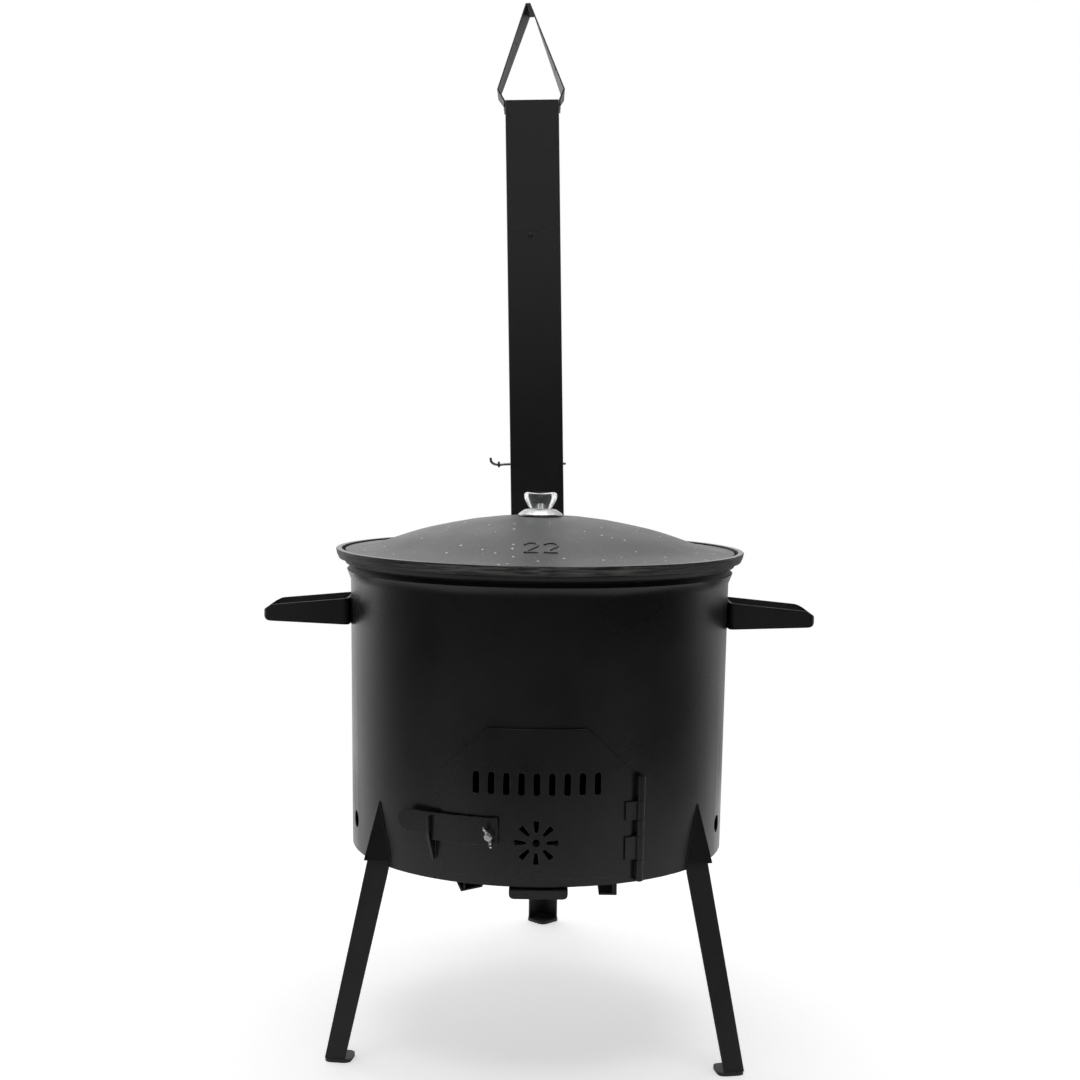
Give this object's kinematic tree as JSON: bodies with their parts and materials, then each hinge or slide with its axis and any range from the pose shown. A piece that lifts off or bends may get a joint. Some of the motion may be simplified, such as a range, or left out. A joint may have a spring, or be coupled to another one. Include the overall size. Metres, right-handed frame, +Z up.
{
  "type": "cauldron stove",
  "caption": "Outdoor wood-fired stove: a round drum on splayed legs holds a lidded cast cauldron, with a latched fire door and a tall square chimney at the back.",
  "frame": {"origin": "on the floor, under the middle of the bounding box", "axes": "+Z up along the chimney, the fire door faces -Y, +X to the right of a person facing the door"},
  "size_m": [0.652, 0.6336, 1.2823],
  "materials": {
    "drum_paint": "matte black heat-proof paint",
    "flue_paint": "matte black heat-proof paint, slightly greyer",
    "cast_iron": "oiled black casting with a worn rim",
    "lid_metal": "satin grey casting with fine light specks",
    "zinc": "bright zinc plating",
    "chrome": "polished",
    "clear_glass": "clear moulded glass"
  },
  "bodies": {
    "stove": {"body_shell": "drum_paint", "bottom_plate": "drum_paint", "grate": "cast_iron", "ash_rail_left": "drum_paint", "ash_rail_right": "drum_paint", "hinge_knuckle_top": "drum_paint", "hinge_knuckle_middle": "drum_paint", "hinge_knuckle_bottom": "drum_paint", "hinge_pin": "zinc", "latch_keeper": "drum_paint", "smoke_box": "drum_paint", "flue_stub": "flue_paint", "leg_socket_left": "drum_paint", "leg_left": "drum_paint", "foot_pad_left": "drum_paint", "leg_socket_right": "drum_paint", "leg_right": "drum_paint", "foot_pad_right": "drum_paint", "leg_socket_rear": "drum_paint", "leg_rear": "drum_paint", "foot_pad_rear": "drum_paint", "handle_left": "drum_paint", "handle_right": "drum_paint"},
    "door": {"door_panel": "drum_paint", "door_knuckle_upper": "drum_paint", "door_knuckle_lower": "drum_paint", "latch_bolt": "zinc", "latch_washer": "zinc"},
    "latch": {"latch_lever": "drum_paint"},
    "nut": {"wing_nut": "zinc"},
    "ash_drawer": {"ash_slide": "drum_paint"},
    "damper": {"damper_plate": "drum_paint", "damper_shaft": "zinc", "damper_collar": "zinc"},
    "chimney": {"chimney_lower": "flue_paint", "chimney_upper": "flue_paint", "chimney_screw": "zinc", "chimney_bail": "drum_paint"},
    "pot": {"cauldron": "cast_iron"},
    "cover": {"lid": "lid_metal", "knob_base": "chrome", "knob": "clear_glass", "knob_screw": "zinc"}
  },
  "joints": [
    {"name": "door_hinge", "type": "hinge", "parent": "stove", "child": "door", "pos_m": [0.11393, -0.27015, 0.27593], "axis": [0.0065, -0.0113, 0.9999], "range_deg": [0, 110]},
    {"name": "latch_pivot", "type": "hinge", "parent": "door", "child": "latch", "pos_m": [-0.05049, -0.29604, 0.27192], "axis": [0.2215, 0.9751, 0.013], "range_deg": [0, 22]},
    {"name": "wing_nut_spin", "type": "hinge", "parent": "door", "child": "nut", "pos_m": [-0.05138, -0.29994, 0.27187], "axis": [-0.2215, -0.9751, -0.013], "continuous": true},
    {"name": "ash_pull", "type": "slide", "parent": "stove", "child": "ash_drawer", "axis": [0, -1, 0], "range_m": [0, 0.15]},
    {"name": "damper_turn", "type": "hinge", "parent": "stove", "child": "damper", "pos_m": [-0.00585, 0.20974, 0.65895], "axis": [0.9997, 0, 0.0262], "range_deg": [0, 90]},
    {"name": "chimney_lift", "type": "slide", "parent": "stove", "child": "chimney", "axis": [-0.0262, 0, 0.9997], "range_m": [0, 0.12]},
    {"name": "cauldron_lift", "type": "slide", "parent": "stove", "child": "pot", "axis": [0, 0, 1], "range_m": [0, 0.25]},
    {"name": "lid_lift", "type": "slide", "parent": "pot", "child": "cover", "axis": [0, 0, 1], "range_m": [0, 0.1]}
  ]
}
